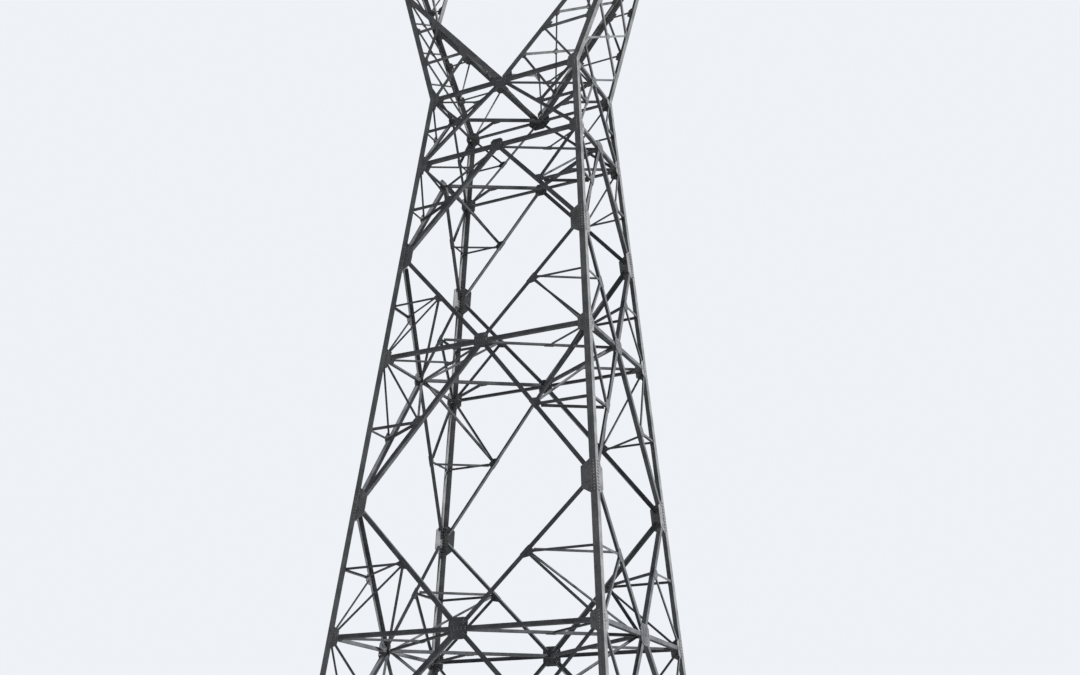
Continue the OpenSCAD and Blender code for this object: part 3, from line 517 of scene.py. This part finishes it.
def foot_bolts(place, h, stretch):
    """Bolts of the level bar under the lowest crossing of an arm's inner side and of the bars below it."""
    foot_h = APEX + (SIDE_GUSSET + 2 * GAP) / stretch
    o = Vector((0.0, h * stretch - LACE_W / 2 - GAP))
    foot = Vector((half_y(foot_h) - LEG_W / 2, foot_h * stretch))
    a = slope_angle(o, foot)
    x = half_y(h) - LACE_CLEAR
    end_bolts(head_bolts, place, (-x, o.y), (x, o.y), LACE_W, 0.0, 0.0, 1, M16)
    for side in SIDES:
        end_bolts(head_bolts, place @ side, o, foot, LACE_W, main_cut(a, LACE_W, LACE_W),
                  edge_cut(QUARTER - a, LACE_W, 2 * LACE_CLEAR - LEG_W), 1, M16)
    side_gusset_bolts(place, foot_h, stretch)


for side in SIDES:
    for way in FRONT_AND_BACK:
        arm_front_bolts(side @ way @ FACES[0])
    crossed_bolts(side @ OUTER_PLANE, LOWER_SIDE + UPPER_SIDE, math.hypot(1.0, FORK_OUT))
    crossed_bolts(side @ INNER_LOW_PLANE, LOWER_INNER, math.hypot(1.0, IN_LOW))
    foot_bolts(side @ INNER_LOW_PLANE, LOWER_INNER[0], math.hypot(1.0, IN_LOW))
    crossed_bolts(side @ INNER_HIGH_PLANE, UPPER_SIDE, math.hypot(1.0, IN_HIGH))


# Bolts of the bridge and the crossarms

BRIDGE_PANELS = 8
PANEL_W = 2 * ROOT / BRIDGE_PANELS
ARM_PANELS = 4
ARM_PANEL_W = ARM_RUN / ARM_PANELS
ARM_IN = (BRIDGE_HALF - TIP_HALF) / ARM_RUN
ARM_FALL = (BRIDGE_TOP - BRIDGE - TIP_HEIGHT) / ARM_RUN
# Distances of the bolts along a chord from a panel point, and across it from its heel
PANEL_BOLTS = (-0.120, -0.040, 0.040, 0.120)
CHORD_ROW = 0.068
# Shortest distance from a chord's end to a bolt
CHORD_END = 0.03


def arm_half(x):
    return BRIDGE_HALF - ARM_IN * x


def arm_top(x):
    return BRIDGE_TOP - ARM_FALL * x


def panel_bolts(place, low, high):
    """Bolts of one side of the bridge, between chords whose heels are at low and high."""
    for n in range(BRIDGE_PANELS):
        ends = (low + CORNER_CLEAR, high - CORNER_CLEAR)
        y0, y1 = ends if n % 2 == 0 else reversed(ends)
        end_bolts(head_bolts, place, (n * PANEL_W - ROOT + CORNER_CLEAR, y0),
                  ((n + 1) * PANEL_W - ROOT - CORNER_CLEAR, y1), LACE_W, 0.0, 0.0, 1, M16)
    for n in range(BRIDGE_PANELS + 1):
        x = n * PANEL_W - ROOT
        inset = LACE_W / 2 if n == 0 else -LACE_W / 2 if n == BRIDGE_PANELS else 0.0
        end_bolts(head_bolts, place, (x + inset, low + LACE_CLEAR), (x + inset, high - LACE_CLEAR),
                  LACE_W, 0.0, 0.0, 1, M16)
        for s in PANEL_BOLTS:
            if abs(x + s) < ROOT - CHORD_END:
                bolt(head_bolts, place, x + s, low + CHORD_ROW, M16)
                bolt(head_bolts, place, x + s, high - CHORD_ROW, M16)


def crossarm_bolts(place, low, high, stretch):
    """Bolts of one side of a crossarm, between the edge lines low(x) and high(x)."""
    for n in range(ARM_PANELS):
        a = n * ARM_PANEL_W + CORNER_CLEAR
        b = (n + 1) * ARM_PANEL_W - CORNER_CLEAR
        rising = n % 2 == 0
        p = (a * stretch, low(a) + CORNER_CLEAR if rising else high(a) - CORNER_CLEAR)
        q = (b * stretch, high(b) - CORNER_CLEAR if rising else low(b) + CORNER_CLEAR)
        end_bolts(head_bolts, place, p, q, LACE_W, 0.0, 0.0, 1, M16)
        for s in PANEL_BOLTS:
            x = n * ARM_PANEL_W + s
            if x > CHORD_END:
                bolt(head_bolts, place, x * stretch, low(x) + CHORD_ROW, M16)
                bolt(head_bolts, place, x * stretch, high(x) - CHORD_ROW, M16)


UNDER_BRIDGE = Matrix.Translation((0.0, 0.0, BRIDGE)) @ NUT_SIDE
OVER_BRIDGE = Matrix.Translation((0.0, 0.0, BRIDGE_TOP))
BRIDGE_FRONT = Matrix.Translation((0.0, -BRIDGE_HALF, 0.0)) @ Matrix.Rotation(QUARTER, 4, "X")
TO_ROOT = Matrix.Translation((ROOT, 0.0, 0.0))
ARM_SIDE = (Matrix.Translation((ROOT, -BRIDGE_HALF, 0.0)) @ Matrix.Rotation(math.atan(ARM_IN), 4, "Z")
            @ Matrix.Rotation(QUARTER, 4, "X"))
ARM_OVER = TO_ROOT @ OVER_BRIDGE @ Matrix.Rotation(math.atan(ARM_FALL), 4, "Y")
for way in FRONT_AND_BACK:
    panel_bolts(way @ BRIDGE_FRONT, BRIDGE, BRIDGE_TOP)
for place in (UNDER_BRIDGE, OVER_BRIDGE):
    panel_bolts(place, -BRIDGE_HALF, BRIDGE_HALF)
for side in SIDES:
    for way in FRONT_AND_BACK:
        crossarm_bolts(side @ way @ ARM_SIDE, lambda x: BRIDGE, arm_top, math.hypot(1.0, ARM_IN))
    for place, stretch in ((TO_ROOT @ UNDER_BRIDGE, 1.0), (ARM_OVER, math.hypot(1.0, ARM_FALL))):
        crossarm_bolts(side @ place, lambda x: -arm_half(x), arm_half, stretch)


# Finer bars than the construction holds

fine_bars = Group()


def mitred_bar(p, q, w, t, start, end):
    """Angle bar along the line p to q, cut off flush with two planes, each a point and a normal."""
    d = (q - p).normalized()
    side = UP.cross(d).normalized()
    up = d.cross(side)
    outline = [(-w / 2, 0.0), (w / 2, 0.0), (w / 2, w), (w / 2 - t, w), (w / 2 - t, t), (-w / 2, t)]
    points = []
    for origin, normal in (start, end):
        for x, y in outline:
            line = p + side * x + up * y
            points.append(line + d * ((origin - line).dot(normal) / d.dot(normal)))
    fine_bars.add((points, closed_faces(len(outline))), SAME)


def surface(place, x, y, depth):
    """Point at a depth behind a plane's outer surface, and the plane's normal."""
    return place @ Vector((x, y, -depth)), place.to_3x3() @ UP


# Distance of an internal bar's end from the middle of a side's strut, along it and inward of its lip
INNER_END, INNER_BACK = 0.075, 0.035


def internal_bar(side, way, ring, leg_node):
    """Bar from the middle of a front or back diagonal to the level plate in the middle of the side."""
    above = 1 if leg_node > ring else -1
    middle = (Vector((0.0, ring * FOLD)) + leg_point(0, leg_node, LEG_W / 2, 0.0)) / 2
    place = side @ way @ FACES[0]
    start = surface(place, middle.x + LACE_W / 2, middle.y, BAR_DEPTH + STRUT_T)
    level = lip_height(ring) + above * (PLATE_T / 2 + (LACE_T if above > 0 else 0.0))
    x = half_x(ring) - BAR_DEPTH - STRUT_W - INNER_BACK
    target = side @ way @ Vector((x, -INNER_END, level))
    mitred_bar(start[0], target, LACE_W, LACE_T, start, (target, UP))


for side in SIDES:
    for way in FRONT_AND_BACK:
        for ring, leg_node in PANELS:
            internal_bar(side, way, ring, leg_node)

# Small plate over each side's waist strut, and where the bars from it up to the outer chords start
FOOT_PLATE = ((-0.11, -0.03), (0.11, -0.03), (0.11, 0.06), (0.06, 0.105), (-0.06, 0.105), (-0.11, 0.06))
FOOT_BAR_X, FOOT_BAR_Y = 0.04, 0.055
OUTER_STRETCH = math.hypot(1.0, FORK_OUT)
for side in SIDES:
    place = side @ OUTER_PLANE
    foot = WAIST * OUTER_STRETCH
    fine_bars.add(prism([(x, foot + y) for x, y in FOOT_PLATE], -BAR_DEPTH, -LEG_T), place)
    h = LOWER_SIDE[0]
    for s in (1, -1):
        p = Vector((s * FOOT_BAR_X, foot + FOOT_BAR_Y))
        q = Vector((s * (half_y(h) - LACE_CLEAR), h * OUTER_STRETCH - LACE_W))
        along = (q - p).normalized()
        across = Vector((-along.y, along.x))
        for edge, low, high in ((-LACE_W / 2, BAR_DEPTH, BAR_DEPTH + LACE_T),
                                (LACE_W / 2 - LACE_T, BAR_DEPTH + LACE_T, BAR_DEPTH + LACE_W)):
            band = [end + across * a for end, a in ((p, edge), (q, edge), (q, LACE_W / 2), (p, LACE_W / 2))]
            fine_bars.add(prism(band, -high, -low), place)


# Materials

def node(tree, kind, **values):
    made = tree.nodes.new(kind)
    for key, value in values.items():
        if key in made.inputs:
            made.inputs[key].default_value = value
        else:
            setattr(made, key, value)
    return made


def ramp(tree, source, stops):
    made = tree.nodes.new("ShaderNodeValToRGB")
    band = made.color_ramp
    while len(band.elements) < len(stops):
        band.elements.new(0.5)
    for element, (place, colour) in zip(band.elements, stops):
        element.position = place
        element.color = (*colour, 1.0)
    tree.links.new(source, made.inputs["Fac"])
    return made.outputs["Color"]


# Colour sockets of a Mix node, whose names its sockets of other types share
MIX_A, MIX_B, MIX_RESULT = 6, 7, 2


def mixed(tree, blend, factor, a, b):
    made = tree.nodes.new("ShaderNodeMix")
    made.data_type = "RGBA"
    made.blend_type = blend
    made.inputs["Factor"].default_value = factor
    tree.links.new(a, made.inputs[MIX_A])
    tree.links.new(b, made.inputs[MIX_B])
    return made.outputs[MIX_RESULT]


SPECULAR = 0.08
ROUGH_LOW, ROUGH_HIGH = 0.55, 0.80
# Darkest and lightest crystal, and where the bloom of the coating is all dark and all light
CRYSTAL_DARK, CRYSTAL_LIGHT = (0.80, 0.81, 0.83), (1.12, 1.12, 1.11)
BLOOM_SCALE, BLOOM_DARK, BLOOM_LIGHT = 2.6, 0.36, 0.62
# Upright run-down streaks: their fineness along each axis, where they start and are full, and their colour
RUN_SCALE, RUN_START, RUN_FULL = (22.0, 22.0, 1.3), 0.50, 0.74
RUN_NONE, RUN_COLOUR = (1.0, 1.0, 1.0), (0.62, 0.60, 0.57)
GRAIN_SCALE, GRAIN_STRENGTH, GRAIN_DEPTH = 260.0, 0.25, 0.0008


def galvanised(name, base, dark, streaks=0.5, spangle=55.0):
    """Weathered zinc coating: crystal patches, run-down streaks, grey bloom and a fine grain; the base and
    dark colours it is given are darkened with painted shade.
    """
    material = bpy.data.materials.new(name)
    material.use_nodes = True
    tree = material.node_tree
    links = tree.links
    shader = tree.nodes["Principled BSDF"]
    place = tree.nodes.new("ShaderNodeTexCoord").outputs["Object"]

    crystals = node(tree, "ShaderNodeTexVoronoi", Scale=spangle)
    links.new(place, crystals.inputs["Vector"])
    crystal = ramp(tree, crystals.outputs["Color"], [(0.0, CRYSTAL_DARK), (1.0, CRYSTAL_LIGHT)])

    bloom = node(tree, "ShaderNodeTexNoise", Scale=BLOOM_SCALE, Detail=6.0, Roughness=0.62)
    links.new(place, bloom.inputs["Vector"])
    patches = ramp(tree, bloom.outputs["Fac"], [(BLOOM_DARK, dark), (BLOOM_LIGHT, base)])

    stretch = node(tree, "ShaderNodeMapping")
    stretch.inputs["Scale"].default_value = RUN_SCALE
    links.new(place, stretch.inputs["Vector"])
    runs = node(tree, "ShaderNodeTexNoise", Scale=1.0, Detail=3.0)
    links.new(stretch.outputs["Vector"], runs.inputs["Vector"])
    run = ramp(tree, runs.outputs["Fac"], [(RUN_START, RUN_NONE), (RUN_FULL, RUN_COLOUR)])

    colour = mixed(tree, "MULTIPLY", 1.0, patches, crystal)
    colour = mixed(tree, "MULTIPLY", streaks, colour, run)
    links.new(colour, shader.inputs["Base Color"])
    shader.inputs["Specular IOR Level"].default_value = SPECULAR

    rough = node(tree, "ShaderNodeMapRange")
    rough.inputs["To Min"].default_value = ROUGH_LOW
    rough.inputs["To Max"].default_value = ROUGH_HIGH
    links.new(bloom.outputs["Fac"], rough.inputs["Value"])
    links.new(rough.outputs["Result"], shader.inputs["Roughness"])

    grain = node(tree, "ShaderNodeTexNoise", Scale=GRAIN_SCALE, Detail=2.0)
    links.new(place, grain.inputs["Vector"])
    bump = node(tree, "ShaderNodeBump", Strength=GRAIN_STRENGTH, Distance=GRAIN_DEPTH)
    links.new(grain.outputs["Fac"], bump.inputs["Height"])
    links.new(bump.outputs["Normal"], shader.inputs["Normal"])
    return material


# Steel colours darker than bare zinc, as painted shade; the bracing and the plates are darker than the legs,
# head and bolts, also as painted shade.
leg_steel = galvanised("leg_steel", (0.225, 0.234, 0.248), (0.135, 0.142, 0.155))
brace_steel = galvanised("brace_steel", (0.135, 0.143, 0.157), (0.078, 0.084, 0.096), streaks=0.6)
head_steel = galvanised("head_steel", (0.215, 0.224, 0.238), (0.128, 0.135, 0.148))
plate_steel = galvanised("plate_steel", (0.135, 0.142, 0.153), (0.076, 0.082, 0.093), streaks=0.7,
                         spangle=38.0)
bolt_steel = galvanised("bolt_steel", (0.260, 0.267, 0.277), (0.165, 0.172, 0.183), streaks=0.3,
                        spangle=160.0)

NODE_STEEL = (
    ("leg_", leg_steel), ("base_plate", plate_steel), ("hanger", plate_steel), ("left_arm", head_steel),
    ("right_arm", head_steel), ("bridge", head_steel), ("crossarm", head_steel), ("peak", head_steel),
)
for name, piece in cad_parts.items():
    steel = brace_steel
    for start, choice in NODE_STEEL:
        if name.startswith(start):
            steel = choice
    piece.data.materials.clear()
    piece.data.materials.append(steel)

leg_bolts.build("leg_bolts", bolt_steel)
brace_bolts.build("bracing_bolts", bolt_steel)
head_bolts.build("head_bolts", bolt_steel)
fine_bars.build("fine_bracing", brace_steel)


# Stage

def plain(name, colour, roughness):
    material = bpy.data.materials.new(name)
    material.use_nodes = True
    shader = material.node_tree.nodes["Principled BSDF"]
    shader.inputs["Base Color"].default_value = (*colour, 1.0)
    shader.inputs["Roughness"].default_value = roughness
    return material


FLOOR_HALF = 200.0
FLOOR_CORNERS = ((-1, -1), (1, -1), (1, 1), (-1, 1))
floor_mesh = bpy.data.meshes.new("floor")
floor_mesh.from_pydata([(x * FLOOR_HALF, y * FLOOR_HALF, 0.0) for x, y in FLOOR_CORNERS], [], [(0, 1, 2, 3)])
floor = bpy.data.objects.new("floor", floor_mesh)
bpy.context.scene.collection.objects.link(floor)
floor_mesh.materials.append(plain("pale_floor", (0.66, 0.66, 0.65), roughness=0.9))


def pale_world(light, strength, background):
    """Even light on the object, with a pale background for what the camera, metal and glass see."""
    world = bpy.data.worlds.new("pale_world")
    bpy.context.scene.world = world
    world.use_nodes = True
    tree = world.node_tree
    tree.nodes.clear()
    path = tree.nodes.new("ShaderNodeLightPath")
    seen = path.outputs["Is Camera Ray"]
    for ray in ("Is Glossy Ray", "Is Transmission Ray"):
        either = tree.nodes.new("ShaderNodeMath")
        either.operation = "MAXIMUM"
        tree.links.new(seen, either.inputs[0])
        tree.links.new(path.outputs[ray], either.inputs[1])
        seen = either.outputs["Value"]
    soft = tree.nodes.new("ShaderNodeBackground")
    soft.inputs["Color"].default_value = (*light, 1.0)
    soft.inputs["Strength"].default_value = strength
    pale = tree.nodes.new("ShaderNodeBackground")
    pale.inputs["Color"].default_value = (*background, 1.0)
    pale.inputs["Strength"].default_value = 1.0
    mix = tree.nodes.new("ShaderNodeMixShader")
    tree.links.new(seen, mix.inputs["Fac"])
    tree.links.new(soft.outputs["Background"], mix.inputs[1])
    tree.links.new(pale.outputs["Background"], mix.inputs[2])
    out = tree.nodes.new("ShaderNodeOutputWorld")
    tree.links.new(mix.outputs["Shader"], out.inputs["Surface"])


pale_world(light=(0.82, 0.89, 1.0), strength=0.11, background=(0.86, 0.89, 0.93))


def sun(name, towards, strength, softness, colour):
    """Sun that shines from the direction towards, as wide as softness in degrees."""
    lamp = bpy.data.lights.new(name, "SUN")
    lamp.energy = strength
    lamp.angle = math.radians(softness)
    lamp.color = colour
    made = bpy.data.objects.new(name, lamp)
    made.rotation_mode = "QUATERNION"
    made.rotation_quaternion = (-Vector(towards)).to_track_quat("-Z", "Y")
    bpy.context.scene.collection.objects.link(made)


sun("key_light", (1.0, 0.10, 0.45), strength=6.0, softness=6.0, colour=(1.0, 0.97, 0.92))
sun("fill_light", (-0.4, -0.9, 0.35), strength=0.08, softness=60.0, colour=(0.9, 0.95, 1.0))


# Camera

def turned(angle, a, b):
    """Rotation by angle in the plane of axes a and b."""
    made = Matrix.Identity(3)
    made[a][a] = made[b][b] = math.cos(angle)
    made[a][b] = -math.sin(angle)
    made[b][a] = math.sin(angle)
    return made


def photo_camera():
    level = Matrix(((1, 0, 0), (0, 0, -1), (0, 1, 0)))
    to_view = turned(CAMERA_ROLL, 0, 1) @ turned(-CAMERA_PITCH, 1, 2) @ level @ turned(CAMERA_YAW, 0, 1)
    right, down, forward = (Vector(row) for row in to_view)
    data = bpy.data.cameras.new("photo_camera")
    data.sensor_width = SENSOR
    data.sensor_fit = "HORIZONTAL"
    data.lens = FOCAL_PIXELS / IMAGE_WIDTH * SENSOR
    data.clip_end = CLIP_END
    made = bpy.data.objects.new("photo_camera", data)
    rotation = Matrix((right, -down, -forward)).transposed()
    made.matrix_world = Matrix.Translation(CAMERA_PLACE) @ rotation.to_4x4()
    bpy.context.scene.collection.objects.link(made)
    bpy.context.scene.camera = made


photo_camera()
bpy.context.scene.view_settings.view_transform = "Standard"
